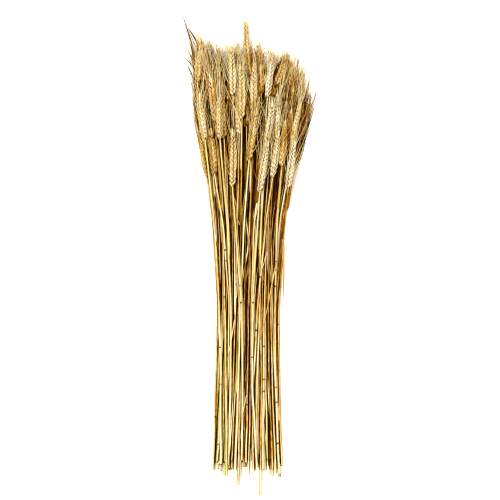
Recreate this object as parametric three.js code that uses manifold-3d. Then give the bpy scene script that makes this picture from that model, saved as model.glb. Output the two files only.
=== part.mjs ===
// A bunch of dried bearded wheat, untied, lying on a table with its heads towards +Y.
// Every stalk is one piece as it grew: a straw, a head of spikelets and their awns.
// Millimetres, +Z up. The bunch rests on z = 0.
import * as THREE from 'three';
import { mergeVertices } from 'three/addons/utils/BufferGeometryUtils.js';
import Module from 'manifold-3d';

const wasm = await Module();
wasm.setup();

// The straws
const STALKS = 60;
const STEM_RADIUS_CUT = 2.0;
const STEM_RADIUS_NECK = 1.5;
const STEM_SIDES = 5;
const STRAW_IN_HEAD = 0.12;
const CUT_SPREAD = 13;

// The heads of spikelets, in two rows, and the room that a head takes up round its line
const HEAD_LENGTH = [66, 84];
const HEAD_REACH = 5.25;
const HEAD_REACH_AT_TIP = 2.8;
const HEAD_TAPER = 14;
const HEAD_ROLL = 1.1;
const NECK_BLEND = 4;
const SPIKELET_PITCH = 7.8;
const SPIKELET_SIDES = 3;
const SPIKELET_LENGTH = 15;
const SPIKELET_SHRINK = 0.2;
const SPIKELET_WIDE = 1.45;
const ROOT_BACK = 5;
const ROOT_ACROSS = 0.5;
const BELLY_ALONG = 5;
const BELLY_RADIUS = 2.5;
const BELLY_OUT = 2.1;
const SPIKELET_OUT = 4.9;
const TIP_SPIKELET_ROOT = 19;
const TIP_SPIKELET_BELLY = 8;
const TIP_SPIKELET_SIZE = 0.85;

// The awns
const AWN_RADIUS = 0.45;
const AWN_LENGTH = [24, 44];
const AWN_SPREAD = [0.04, 0.36];
const AWN_TURN = 1.2;
const AWN_START = 0.85;
const AWN_START_INSET = 0.4;
const AWNS_PER_HEAD = 4;
const AWN_TRIES = 80;
const TIP_AWN_LENGTH = 18;
const TIP_AWN_ROOM = 0.65;
const BLADE_HALF_THICKNESS = 0.4;

// How the stalks lie in the bunch: 0 is the lowest layer and 1 the highest, and across the bunch
// -1 is the left edge and 1 the right
const RING_STEP = 115;
const RING_CLEARANCE = 60;
const TOP_LAYERS = [0.55, 1];
const EDGE_LAYER = 0.5;
const LOWER_LAYERS = [0, 0.68];
const LOWER_ACROSS = 0.92;
const LOWER_DROP = [0, 75];
const HEADS_SPREAD_AT = 540;
const NECKS_SPREAD_AT = 425;
const GOLDEN_SHARE = 0.618034;
const WANDER_BELOW = 0.1;
const WANDER_ABOVE = 0.42;
const WIDEST = 0.97;
const EVENNESS = 0.85;

// How the bunch settles
const CLEARANCE = 0.34;
const SLOPE_MARGIN = 1.03;
const SAMPLE_STEP = 10;
const SAMPLED = [-40, 660];
const ROUNDS = 1100;
const SETTLED = 0.02;
const EASED_BY = 0.7;
const PULL_ASIDE = 0.06;
const PULL_UP = 0.03;
const PUSHED_ASIDE = 0.4;
const STIFFNESS = 0.015;
const LEAST_STIFF = 0.3;
const SINK = 0.07;
const SINK_FROM = 0.4;
const SINK_UNTIL = 0.7;
const SEED = 4127;

// Outline of the whole bunch, seen from above: height along the stalks, left edge, right edge
const OUTLINE = [
  [-40, -52, 46],
  [50, -54, 46],
  [130, -49, 41],
  [220, -46, 41],
  [300, -49, 43],
  [343, -53, 46],
  [385, -60, 54],
  [427, -67, 64],
  [470, -73, 77],
  [511, -79, 88],
  [560, -80, 82],
  [640, -78, 70],
];

// Depth of the bunch above the table at the same heights
const DEPTH = [
  [-40, 24],
  [50, 24],
  [200, 21],
  [330, 24],
  [430, 36],
  [520, 46],
  [640, 42],
];

// Heads that show on top: tip x, tip y, neck x, neck y
const TOP_HEADS = [
  [-70, 605, -76, 540],
  [-63, 595, -60, 530],
  [-55, 557, -47, 488],
  [-43, 528, -43, 462],
  [-20, 585, -32, 516],
  [-15, 571, -13, 490],
  [-4, 618, 6, 544],
  [11, 599, 13, 525],
  [-26, 596, -21, 523],
  [34, 588, 31, 520],
  [52, 586, 28, 520],
  [57, 570, 62, 504],
  [71, 556, 67, 490],
  [88, 525, 72, 459],
  [66, 501, 56, 436],
  [60, 462, 49, 392],
  [34, 518, 21, 451],
  [24, 462, 8, 388],
  [8, 507, -4, 432],
  [-25, 479, -29, 396],
  [-57, 480, -51, 412],
  [-66, 483, -58, 410],
  [39, 476, 32, 409],
  [40, 532, 38, 462],
  [49, 492, 46, 425],
];

// Stalks whose cut ends stick out below the others: number of the stalk, cut x, cut y
const STRAY_CUTS = [
  [8, -19, -28],
  [7, 17, -37],
];

// Tip line of the heads that lie further down in the bunch: x, y
const TIP_LINE = [
  [-80, 590],
  [-40, 575],
  [0, 592],
  [40, 580],
  [62, 562],
  [92, 522],
];

// Leaves that stand out of the bunch, on the stalk of this number, or else on the one furthest
// right at their root. Each has a width and a midrib: height along the bunch, distance aside from
// the stalk and height above it
const LEAVES = [
  {
    on: 0,
    width: 2.6,
    rib: [[505, 0, 0], [530, -3, -2], [565, -5.5, -1], [585, -8, -1], [603, -14, -1], [637, -27, 3]],
  },
  {
    on: 0,
    width: 3.0,
    rib: [[520, 0, 0], [550, 1, -5], [585, 0, -6.5], [601, -4, -6.5], [619, -18, -4]],
  },
  {
    width: 2.6,
    rib: [[362, 0, 0], [374, 2.4, 0.5], [392, 4, 0.5], [412, 4.6, 0]],
  },
  {
    width: 2.8,
    rib: [[338, 0, 0], [333, 3, 1], [320, 5, 1.5], [296, 6.5, 1], [265, 7.5, 0.5], [236, 9, 0]],
  },
];

function seededRandom(seed) {
  let state = seed >>> 0;
  return () => {
    state = (state + 0x6d2b79f5) >>> 0;
    let t = Math.imul(state ^ (state >>> 15), state | 1);
    t ^= t + Math.imul(t ^ (t >>> 7), t | 61);
    return ((t ^ (t >>> 14)) >>> 0) / 4294967296;
  };
}

const random = seededRandom(SEED);
const between = (low, high) => THREE.MathUtils.lerp(low, high, random());
const either = (size) => between(-size, size);

// Value of a measured list at a height, straight between its rows
function readOff(rows, height, column) {
  const last = rows.length - 1;
  let k = 0;
  while (k < last - 1 && rows[k + 1][0] < height) k += 1;
  const t = THREE.MathUtils.clamp((height - rows[k][0]) / (rows[k + 1][0] - rows[k][0]), 0, 1);
  return THREE.MathUtils.lerp(rows[k][column], rows[k + 1][column], t);
}

// Where a fraction from -1 to 1 of the bunch's width lies at a height, and back
function acrossToX(y, across) {
  const left = readOff(OUTLINE, y, 1);
  const right = readOff(OUTLINE, y, 2);
  return (left + right) / 2 + (across * (right - left)) / 2;
}

function xToAcross(y, x) {
  const left = readOff(OUTLINE, y, 1);
  const right = readOff(OUTLINE, y, 2);
  return (2 * x - left - right) / (right - left);
}

// Plan of one stalk: its neck, head, cut and the share of the depth at which it lies
function planStalk(tip, neck, layer, index) {
  const stray = STRAY_CUTS.find(([on]) => on === index);
  const cutY = stray ? stray[2] : either(CUT_SPREAD);
  const acrossNeck = xToAcross(neck.y, neck.x);
  const wander = THREE.MathUtils.lerp(WANDER_BELOW, WANDER_ABOVE, layer);
  const within = (across) => THREE.MathUtils.clamp(across, -WIDEST, WIDEST);
  const acrossCut = stray ? xToAcross(cutY, stray[1]) : within(acrossNeck + either(wander));
  const acrossWaist = within((acrossNeck + acrossCut) / 2 + either(wander / 2));
  const axis = tip.clone().sub(neck).normalize();
  const end = tip.clone().addScaledVector(axis, TIP_AWN_LENGTH);
  const heights = [cutY];
  for (let y = RING_STEP; y < neck.y - RING_CLEARANCE; y += RING_STEP) heights.push(y);
  heights.push(neck.y, end.y);
  const points = heights.map((y) => {
    if (y === neck.y) return { x: neck.x, y };
    if (y === end.y) return { x: end.x, y };
    const t = (y - cutY) / (neck.y - cutY);
    const first = THREE.MathUtils.lerp(acrossCut, acrossWaist, t * 2);
    const second = THREE.MathUtils.lerp(acrossWaist, acrossNeck, t * 2 - 1);
    return { x: acrossToX(y, t < 0.5 ? first : second), y };
  });
  for (const point of points) {
    point.homeX = point.x;
    point.homeZ = STEM_RADIUS_CUT + layer * (readOff(DEPTH, point.y, 1) - 2 * STEM_RADIUS_CUT);
    point.z = point.homeZ + either(0.5);
  }
  return {
    points,
    layer,
    headLength: tip.distanceTo(neck),
    onTop: index < TOP_HEADS.length,
    roll: either(HEAD_ROLL),
    neckY: neck.y,
    tipY: tip.y,
    endY: end.y,
    cutY,
  };
}

function planBunch() {
  const stalks = [];
  const byNeck = TOP_HEADS.map(([, , , neckY]) => neckY).sort((a, b) => b - a);
  for (const [tipX, tipY, neckX, neckY] of TOP_HEADS) {
    const rank = byNeck.indexOf(neckY) / (byNeck.length - 1);
    const edge = Math.abs(xToAcross(neckY, neckX));
    const layer = THREE.MathUtils.lerp(THREE.MathUtils.lerp(...TOP_LAYERS, rank), EDGE_LAYER, edge ** 3);
    const tip = new THREE.Vector2(tipX, tipY);
    stalks.push(planStalk(tip, new THREE.Vector2(neckX, neckY), layer, stalks.length));
  }
  const below = STALKS - TOP_HEADS.length;
  for (let k = 0; k < below; k += 1) {
    const layer = THREE.MathUtils.lerp(...LOWER_LAYERS, k / (below - 1));
    const across = (((k * GOLDEN_SHARE) % 1) * 2 - 1) * LOWER_ACROSS;
    const tipX = acrossToX(HEADS_SPREAD_AT, across) + either(5);
    const tipY = readOff(TIP_LINE, tipX, 1) - between(...LOWER_DROP);
    const headLength = between(...HEAD_LENGTH);
    const neckY = tipY - headLength;
    const neckX = acrossToX(neckY, xToAcross(HEADS_SPREAD_AT, tipX) + either(0.06));
    const tip = new THREE.Vector2(tipX, tipY);
    stalks.push(planStalk(tip, new THREE.Vector2(neckX, neckY), layer, stalks.length));
  }
  spreadNecks(stalks);
  for (let y = RING_STEP; y < NECKS_SPREAD_AT; y += RING_STEP) spaceEvenly(stalks, y);
  return stalks;
}

// The lower heads move aside, each towards the middle between its neighbours seen from above
function spreadNecks(stalks) {
  for (let round = 0; round < 60; round += 1) {
    const order = stalks.map((stalk) => ({ stalk, x: lineAt(stalk, NECKS_SPREAD_AT).x }));
    order.sort((a, b) => a.x - b.x);
    for (let i = 1; i < order.length - 1; i += 1) {
      const { stalk, x } = order[i];
      const aside = (order[i - 1].x + order[i + 1].x) / 2 - x;
      if (!stalk.onTop) for (const point of stalk.points.slice(-2)) point.x += aside / 2;
    }
  }
  for (const point of stalks.flatMap((stalk) => stalk.points)) point.homeX = point.x;
}

// Seen from above, the straws are about evenly spaced across the bunch at every ring
function spaceEvenly(stalks, y) {
  const rings = stalks.flatMap((stalk) => stalk.points.slice(0, -2).filter((point) => point.y === y));
  rings.sort((a, b) => a.x - b.x);
  rings.forEach((ring, rank) => {
    const even = acrossToX(y, (((2 * rank + 1) / rings.length) - 1) * WIDEST);
    ring.homeX = THREE.MathUtils.lerp(ring.homeX, even, EVENNESS);
    ring.x = ring.homeX;
  });
}

// Room that a stalk takes up round its line at a height
function roomAt(stalk, y) {
  const { cutY, neckY, tipY } = stalk;
  const headFrom = neckY - NECK_BLEND;
  if (y < headFrom) {
    return THREE.MathUtils.mapLinear(y, cutY, neckY, STEM_RADIUS_CUT, STEM_RADIUS_NECK);
  }
  if (y > tipY) return TIP_AWN_ROOM;
  const rise = THREE.MathUtils.clamp((y - headFrom) / (2 * NECK_BLEND), 0, 1);
  const fall = THREE.MathUtils.clamp((tipY - y) / HEAD_TAPER, 0, 1);
  return Math.min(
    THREE.MathUtils.lerp(STEM_RADIUS_NECK, HEAD_REACH, rise),
    THREE.MathUtils.lerp(HEAD_REACH_AT_TIP, HEAD_REACH, fall),
  );
}

// The stalk's line at a height: which two of its points, and how far between them
function placeOn(stalk, y) {
  const { points } = stalk;
  let k = 0;
  while (k < points.length - 2 && points[k + 1].y < y) k += 1;
  const t = (y - points[k].y) / (points[k + 1].y - points[k].y);
  return { low: points[k], high: points[k + 1], t };
}

function lineAt(stalk, y) {
  const { low, high, t } = placeOn(stalk, y);
  return new THREE.Vector3(low.x, y, low.z).lerp(new THREE.Vector3(high.x, y, high.z), t);
}

// Heights at which the stalks are kept apart, and what each stalk takes up there
function makeSlices(stalks) {
  const slices = [];
  for (let y = SAMPLED[0]; y < SAMPLED[1]; y += SAMPLE_STEP) {
    const slice = [];
    for (const stalk of stalks) {
      if (y >= stalk.cutY - SAMPLE_STEP && y <= stalk.endY + 2) {
        const { low, high, t } = placeOn(stalk, y);
        const room = roomAt(stalk, y) * SLOPE_MARGIN + CLEARANCE / 2;
        slice.push({ low, high, t: THREE.MathUtils.clamp(t, 0, 1), room });
      }
    }
    slices.push(slice);
  }
  return slices;
}

function push(place, dx, dz) {
  const { low, high, t } = place;
  const share = t * t + (1 - t) * (1 - t);
  low.x += (dx * (1 - t)) / share;
  low.z += (dz * (1 - t)) / share;
  high.x += (dx * t) / share;
  high.z += (dz * t) / share;
}

// Stalks that come too near push each other away, by a share of the way aside and the rest in height
function keepApart(slices, shareAside) {
  let worst = 0;
  for (const slice of slices) {
    for (let i = 1; i < slice.length; i += 1) {
      const a = slice[i];
      for (let j = 0; j < i; j += 1) {
        const b = slice[j];
        const dx = a.low.x + (a.high.x - a.low.x) * a.t - b.low.x - (b.high.x - b.low.x) * b.t;
        const room = a.room + b.room;
        if (Math.abs(dx) >= room) continue;
        const dz = a.low.z + (a.high.z - a.low.z) * a.t - b.low.z - (b.high.z - b.low.z) * b.t;
        const distance = Math.hypot(dx, dz);
        if (distance >= room) continue;
        worst = Math.max(worst, room - distance);
        const move = (0.5 * (room - distance)) / Math.max(distance, 0.01);
        const aside = dx * move * shareAside;
        const up = dz * move * (2 - shareAside);
        push(a, aside, up);
        push(b, -aside, -up);
      }
    }
  }
  return worst;
}

// Lowest height of a stalk's line at which it lies on the table
function restHeight(stalk, y) {
  if (y < stalk.neckY) return roomAt(stalk, y) * Math.cos(Math.PI / STEM_SIDES);
  const row = (BELLY_OUT + BELLY_RADIUS) * Math.sin(stalk.roll);
  const face = BELLY_RADIUS * SPIKELET_WIDE * Math.cos(stalk.roll);
  return Math.hypot(row, face);
}

function settle(stalks) {
  const slices = makeSlices(stalks);
  for (let round = 0; round < ROUNDS; round += 1) {
    const done = round / ROUNDS;
    const ease = Math.max(0, 1 - done / EASED_BY);
    for (const stalk of stalks) {
      const { points } = stalk;
      for (let k = 0; k < points.length; k += 1) {
        const p = points[k];
        p.x += (p.homeX - p.x) * PULL_ASIDE * ease;
        p.z += (p.homeZ - p.z) * PULL_UP * ease;
        if (done > SINK_FROM && done < SINK_UNTIL) p.z -= SINK;
        if (ease > 0 && k > 0 && k < points.length - 1) {
          const [a, b] = [points[k - 1], points[k + 1]];
          const t = (p.y - a.y) / (b.y - a.y);
          const stiff = STIFFNESS * (LEAST_STIFF + ease);
          p.x += (THREE.MathUtils.lerp(a.x, b.x, t) - p.x) * stiff;
          p.z += (THREE.MathUtils.lerp(a.z, b.z, t) - p.z) * stiff;
        }
      }
    }
    const worst = keepApart(slices, ease > 0 ? PUSHED_ASIDE : 1);
    for (const stalk of stalks) {
      for (const p of stalk.points) {
        p.z = Math.max(p.z, restHeight(stalk, p.y));
        p.x = THREE.MathUtils.clamp(p.x, acrossToX(p.y, -WIDEST), acrossToX(p.y, WIDEST));
      }
    }
    if (ease === 0 && worst < SETTLED) break;
  }
}

const stalks = planBunch();
settle(stalks);

// A closed body along a path: a lathe whose rings are carried to the path's stations.
// The first and the last station have no radius, so both ends close in a point.
function bodyAlong(stations, sides, outward, wide = 1, upright = false) {
  const profile = stations.map((station, i) => new THREE.Vector2(station.r, i));
  const lathe = new THREE.LatheGeometry(profile, sides);
  lathe.deleteAttribute('normal');
  lathe.deleteAttribute('uv');
  const position = lathe.attributes.position;
  for (let i = 0; i < position.count; i += 1) {
    const k = i % stations.length;
    const before = stations[Math.max(k - 1, 0)].p;
    const after = stations[Math.min(k + 1, stations.length - 1)].p;
    const along = upright ? new THREE.Vector3(0, 1, 0) : after.clone().sub(before).normalize();
    const out = outward.clone().addScaledVector(along, -outward.dot(along)).normalize();
    const side = along.clone().cross(out);
    const point = stations[k].p.clone();
    point.addScaledVector(side, position.getX(i) * wide);
    point.addScaledVector(out, position.getZ(i));
    position.setXYZ(i, point.x, point.y, point.z);
  }
  return solid(lathe);
}

function solid(geometry) {
  const merged = mergeVertices(geometry, 1e-4);
  const corners = merged.index.array;
  const triVerts = [];
  for (let i = 0; i < corners.length; i += 3) {
    const [a, b, c] = [corners[i], corners[i + 1], corners[i + 2]];
    if (a !== b && b !== c && c !== a) triVerts.push(a, b, c);
  }
  return new wasm.Manifold(new wasm.Mesh({
    numProp: 3,
    vertProperties: new Float32Array(merged.attributes.position.array),
    triVerts: new Uint32Array(triVerts),
  }));
}

const at = (point) => new THREE.Vector3(point.x, point.y, point.z);

// The straw: rings across the stalk, with a flat side down, closed inside the head
function makeStraw(stalk) {
  const stations = [];
  const rings = stalk.points.slice(0, -1);
  const cut = at(rings[0]);
  stations.push({ p: cut.clone(), r: 0 });
  for (const ring of rings) {
    stations.push({ p: at(ring), r: roomAt(stalk, Math.min(ring.y, stalk.neckY - NECK_BLEND - 1)) });
  }
  stations.push({ p: at(stalk.points.at(-2)).lerp(at(stalk.points.at(-1)), STRAW_IN_HEAD), r: 0 });
  return bodyAlong(stations, STEM_SIDES, new THREE.Vector3(0, 0, 1), 1, true);
}

// The head's own directions: along it, towards its first row of spikelets, and to its broad face
function headFrame(stalk) {
  const neck = at(stalk.points.at(-2));
  const end = at(stalk.points.at(-1));
  const axis = end.clone().sub(neck).normalize();
  const level = new THREE.Vector3(1, 0, 0).addScaledVector(axis, -axis.x).normalize();
  const row = level.applyAxisAngle(axis, stalk.roll);
  return { neck, axis, row, face: axis.clone().cross(row) };
}

function inHead(frame, along, out, front = 0) {
  return frame.neck.clone()
    .addScaledVector(frame.axis, along)
    .addScaledVector(frame.row, out)
    .addScaledVector(frame.face, front);
}

// Spikelets stand in two rows, left and right in turn, smaller at both ends of the head
function spikeletPlan(stalk) {
  const room = stalk.headLength - SPIKELET_LENGTH * 0.7;
  const count = Math.round(room / SPIKELET_PITCH) + 1;
  const plan = [];
  for (let i = 0; i < count; i += 1) {
    const place = i / (count - 1);
    const size = 1 - SPIKELET_SHRINK * Math.abs(2 * place - 1) ** 2.5;
    plan.push({ along: (place * room * (count - 1)) / count, side: i % 2 ? 1 : -1, size });
  }
  return plan;
}

function makeSpikelet(frame, spikelet, awnTip) {
  const { along, side, size } = spikelet;
  const stations = [
    { p: inHead(frame, along - ROOT_BACK, -ROOT_ACROSS * side), r: 0 },
    { p: inHead(frame, along + BELLY_ALONG, BELLY_OUT * side * size), r: BELLY_RADIUS * size },
  ];
  if (awnTip) {
    stations.push({ p: neckOfAwn(frame, spikelet), r: AWN_RADIUS });
    stations.push({ p: awnTip, r: 0 });
  } else {
    stations.push({ p: inHead(frame, along + SPIKELET_LENGTH * size, SPIKELET_OUT * side * size), r: 0 });
  }
  return bodyAlong(stations, SPIKELET_SIDES, frame.row.clone().multiplyScalar(side), SPIKELET_WIDE);
}

function neckOfAwn(frame, spikelet) {
  const { along, side, size } = spikelet;
  const out = (SPIKELET_OUT - AWN_START_INSET) * side * size;
  return inHead(frame, along + SPIKELET_LENGTH * AWN_START * size, out);
}

function makeTipSpikelet(stalk, frame) {
  const top = stalk.headLength;
  const end = at(stalk.points.at(-1));
  const stations = [
    { p: inHead(frame, top - TIP_SPIKELET_ROOT, 0), r: 0 },
    { p: inHead(frame, top - TIP_SPIKELET_BELLY, 0), r: BELLY_RADIUS * TIP_SPIKELET_SIZE },
    { p: inHead(frame, top, 0), r: AWN_RADIUS },
    { p: end, r: 0 },
  ];
  return bodyAlong(stations, SPIKELET_SIDES, frame.face, SPIKELET_WIDE);
}

// Nearest distance in the plane across the stalks between two lines over a stretch of height
function nearestGap(fromA, toA, fromB, toB) {
  const dx = fromA.x - fromB.x;
  const dz = fromA.z - fromB.z;
  const ex = toA.x - toB.x - dx;
  const ez = toA.z - toB.z - dz;
  const square = ex * ex + ez * ez;
  const t = square > 0 ? THREE.MathUtils.clamp(-(dx * ex + dz * ez) / square, 0, 1) : 0;
  return Math.hypot(dx + ex * t, dz + ez * t);
}

function awnAt(awn, y) {
  const { from, to } = awn;
  const t = (y - from.y) / (to.y - from.y);
  return { x: THREE.MathUtils.lerp(from.x, to.x, t), z: THREE.MathUtils.lerp(from.z, to.z, t) };
}

// Lines that awns and leaves already take up, with the room round each
const taken = [];

function awnIsClear(awn) {
  if (awn.to.z < AWN_RADIUS + CLEARANCE) return false;
  const steps = Math.ceil((awn.to.y - awn.from.y) / SAMPLE_STEP);
  const step = (awn.to.y - awn.from.y) / steps;
  for (let k = 0; k < steps; k += 1) {
    const low = awn.from.y + k * step;
    const high = low + step;
    const [a, b] = [awnAt(awn, low), awnAt(awn, high)];
    for (const other of stalks) {
      if (other === awn.stalk || high < other.cutY || low > other.endY + 1) continue;
      const room = Math.max(roomAt(other, low), roomAt(other, high)) * SLOPE_MARGIN;
      const [c, d] = [lineAt(other, low), lineAt(other, Math.min(high, other.endY))];
      if (Math.abs(a.x - c.x) > room + 8) continue;
      if (nearestGap(a, b, c, d) < room + AWN_RADIUS + CLEARANCE) return false;
    }
  }
  for (const other of taken) {
    if (other.stalk === awn.stalk) continue;
    const low = Math.max(awn.from.y, other.from.y) - 1;
    const high = Math.min(awn.to.y, other.to.y) + 1;
    if (low >= high) continue;
    const gap = nearestGap(awnAt(awn, low), awnAt(awn, high), awnAt(other, low), awnAt(other, high));
    if (gap < AWN_RADIUS + other.room + CLEARANCE) return false;
  }
  return true;
}

// Awns go where the neighbours leave room, from the head's top downwards
function growAwns(stalk) {
  const frame = headFrame(stalk);
  const plan = spikeletPlan(stalk);
  let placed = 0;
  for (let i = plan.length - 1; i >= 1 && placed < AWNS_PER_HEAD; i -= 1) {
    if (i % 3 === 0) continue;
    const spikelet = plan[i];
    const from = neckOfAwn(frame, spikelet);
    for (let attempt = 0; attempt < AWN_TRIES; attempt += 1) {
      const spread = between(...AWN_SPREAD);
      const turn = either(AWN_TURN);
      const length = THREE.MathUtils.lerp(AWN_LENGTH[1], AWN_LENGTH[0], attempt / AWN_TRIES);
      const out = frame.row.clone().multiplyScalar(spikelet.side * Math.cos(turn));
      out.addScaledVector(frame.face, Math.sin(turn));
      const way = frame.axis.clone().multiplyScalar(Math.cos(spread)).addScaledVector(out, Math.sin(spread));
      const awn = { stalk, from, to: from.clone().addScaledVector(way, length), room: AWN_RADIUS };
      if (awn.to.y > stalk.endY - 1) continue;
      if (awnIsClear(awn)) {
        taken.push(awn);
        spikelet.awnTip = awn.to;
        placed += 1;
        break;
      }
    }
  }
  return { frame, plan };
}

// The midrib of a leaf, from its root on the straw
function leafRib(leaf) {
  return leaf.rib.map(([y, aside, above]) => {
    const line = lineAt(leaf.stalk, y);
    return new THREE.Vector3(line.x + aside, y, Math.max(line.z + above, BLADE_HALF_THICKNESS + CLEARANCE));
  });
}

function makeLeaf(leaf) {
  const rib = leafRib(leaf);
  const last = rib.length - 1;
  const stations = rib.map((p, k) => ({ p, r: k === 0 || k === last ? 0 : BLADE_HALF_THICKNESS }));
  return bodyAlong(stations, 4, new THREE.Vector3(0, 0, 1), leaf.width / (2 * BLADE_HALF_THICKNESS));
}

function makeStalk(stalk) {
  const { frame, plan } = stalk.head;
  let body = makeStraw(stalk);
  for (const spikelet of plan) body = body.add(makeSpikelet(frame, spikelet, spikelet.awnTip));
  body = body.add(makeTipSpikelet(stalk, frame));
  for (const leaf of leaves) if (leaf.stalk === stalk) body = body.add(makeLeaf(leaf));
  return body;
}

function toGeometry(body) {
  const mesh = body.getMesh();
  const geometry = new THREE.BufferGeometry();
  const positions = new Float32Array(mesh.numVert * 3);
  for (let i = 0; i < mesh.numVert; i += 1) {
    for (let c = 0; c < 3; c += 1) positions[3 * i + c] = mesh.vertProperties[mesh.numProp * i + c];
  }
  geometry.setAttribute('position', new THREE.BufferAttribute(positions, 3));
  geometry.setIndex([...mesh.triVerts]);
  geometry.computeVertexNormals();
  return geometry;
}

function furthestRight(y) {
  const here = stalks.filter((stalk) => stalk.endY > y);
  return here.reduce((best, stalk) => (lineAt(stalk, y).x > lineAt(best, y).x ? stalk : best));
}

const leaves = LEAVES.map((leaf) => ({ ...leaf, stalk: stalks[leaf.on] ?? furthestRight(leaf.rib[0][0]) }));
for (const leaf of leaves) {
  const rib = leafRib(leaf);
  for (let k = 1; k < rib.length; k += 1) {
    const [from, to] = rib[k - 1].y < rib[k].y ? [rib[k - 1], rib[k]] : [rib[k], rib[k - 1]];
    taken.push({ stalk: leaf.stalk, from, to, room: leaf.width / 2 });
  }
}
for (const stalk of stalks) stalk.head = growAwns(stalk);

const bunch = new THREE.Group();
stalks.forEach((stalk, index) => {
  const shade = new THREE.Color(0xd0a860).offsetHSL(either(0.01), either(0.06), either(0.05));
  const straw = new THREE.MeshStandardMaterial({ color: shade, roughness: 0.75, metalness: 0 });
  const mesh = new THREE.Mesh(toGeometry(makeStalk(stalk)), straw);
  mesh.name = `stalk_${String(index + 1).padStart(2, '0')}`;
  bunch.add(mesh);
});

// The origin is under the middle of the bunch, on the table
const box = new THREE.Box3().setFromObject(bunch);
const middle = box.getCenter(new THREE.Vector3());
bunch.position.set(-middle.x, -middle.y, 0);

export default bunch;
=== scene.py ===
"""Dresses the bunch of dried bearded wheat: straws, heads of husks, awns and dry leaves."""
import math
import random
from collections import namedtuple

import bmesh
import bpy
import numpy as np
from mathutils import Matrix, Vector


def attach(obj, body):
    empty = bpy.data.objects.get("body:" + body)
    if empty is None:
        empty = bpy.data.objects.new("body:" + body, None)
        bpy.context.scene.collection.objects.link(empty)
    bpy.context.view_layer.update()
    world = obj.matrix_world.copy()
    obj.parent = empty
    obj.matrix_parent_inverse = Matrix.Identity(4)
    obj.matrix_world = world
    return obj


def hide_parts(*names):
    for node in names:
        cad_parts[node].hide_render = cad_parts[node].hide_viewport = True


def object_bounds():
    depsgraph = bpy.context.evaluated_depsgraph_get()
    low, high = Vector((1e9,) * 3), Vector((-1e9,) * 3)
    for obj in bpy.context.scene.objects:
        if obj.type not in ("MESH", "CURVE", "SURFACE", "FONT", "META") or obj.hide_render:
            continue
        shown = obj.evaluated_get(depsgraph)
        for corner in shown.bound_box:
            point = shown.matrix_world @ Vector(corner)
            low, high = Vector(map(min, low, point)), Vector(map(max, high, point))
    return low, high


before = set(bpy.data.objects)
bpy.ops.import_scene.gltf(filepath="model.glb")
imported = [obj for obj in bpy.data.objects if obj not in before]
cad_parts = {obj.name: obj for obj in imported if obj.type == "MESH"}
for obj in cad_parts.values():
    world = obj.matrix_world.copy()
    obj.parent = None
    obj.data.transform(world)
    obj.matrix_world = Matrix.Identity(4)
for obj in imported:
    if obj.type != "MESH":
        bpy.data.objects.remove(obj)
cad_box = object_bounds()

SEED = 4127
MM = 0.001
UP = np.array((0.0, 0.0, 1.0))
TINY = 1e-12

# Materials by slot
STRAW, HUSK, AWN, LEAF = range(4)

# In the values that follow, lengths without MM are in millimetres, and a pair on its own is the least
# and the most that the dice give

# Reading a solid: the rings of corners round its straw, then the corners round its head's line
SAME_CORNER = 0.001 * MM
SAME_HEIGHT = 0.0015 * MM
RING_CORNERS = 5
ABOVE_NECK = 8 * MM
HEAD_AROUND = 6 * MM
MOST_OF_HEAD = 0.6
TIP_AWN = 18 * MM

# How far the pieces may go past the box of the solids
PAST_SIDES = 3.5 * MM
PAST_ENDS = 4 * MM
PAST_TOP = 1.2 * MM
OFF_TABLE = 0.15 * MM

# How the stalks shade one another, painted as darker tones of the straws, strips and heads
SHADING_RADIUS = 1.7 * MM
HEAD_SHADES_MORE = 3.0 * MM
NECK_BLEND = 6 * MM
TIP_WITHOUT_SHADE = 12 * MM
OPEN_UP_TO = 0.22
CLOSED_MOST = 1.2
INNER_PAINTED_SHADE = 0.6
UNDERSIDE_PAINTED_SHADE = 0.17
HEAD_INNER_PAINTED_SHADE = 0.9

# The straws
STRAW_SIDES = 8
STRAW_STATIONS = 96
RADIUS_AT_CUT = 1.98 * MM
RADIUS_AT_NECK = 1.4 * MM
NARROWS_LATE = 1.5
GIRTH = (0.74, 1.03)
STRAW_UNDER_TIP = 8 * MM
ROUNDED_OVER = 16 * MM
SWINGS = 2
SWING_ASIDE = (0.1, 0.4)
SWING_LENGTH = (60, 170)

# The cut: the first stations go from the hollow out to the rim and over it
CUT_STATIONS = 4
CUT_MOVED = (-3, 6)
CUT_SLANT = (-1.1, 1.1)
CUT_DARK = (1.0, 0.9, 0.55)
HOLLOW = 0.62
HOLLOW_DEPTH = 5 * MM
CUT_RIM = 0.3 * MM
PLAIN_FROM = 6 * MM

# The joints and the sheaths that start at them
JOINT_SWELL = 0.1
JOINT_HALF = 1.1 * MM
JOINT_STATIONS = (-2.2, -1, -0.4, 0.4, 1, 2.2)
FIRST_JOINT = (30, 110)
JOINT_STEP = (110, 180)
JOINTS_APART = 70 * MM
UPPERMOST_JOINT = 110 * MM
SEEN_JOINT_DARK = (1.1, 1.4)
OTHER_JOINT_DARK = (0, 0.6)
SHEATHED_SHARE = 0.7
SHEATH_LENGTH = (35, 95)
SHEATH_FRAYS = 20 * MM
SHEATH_THICKER = 0.05

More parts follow.
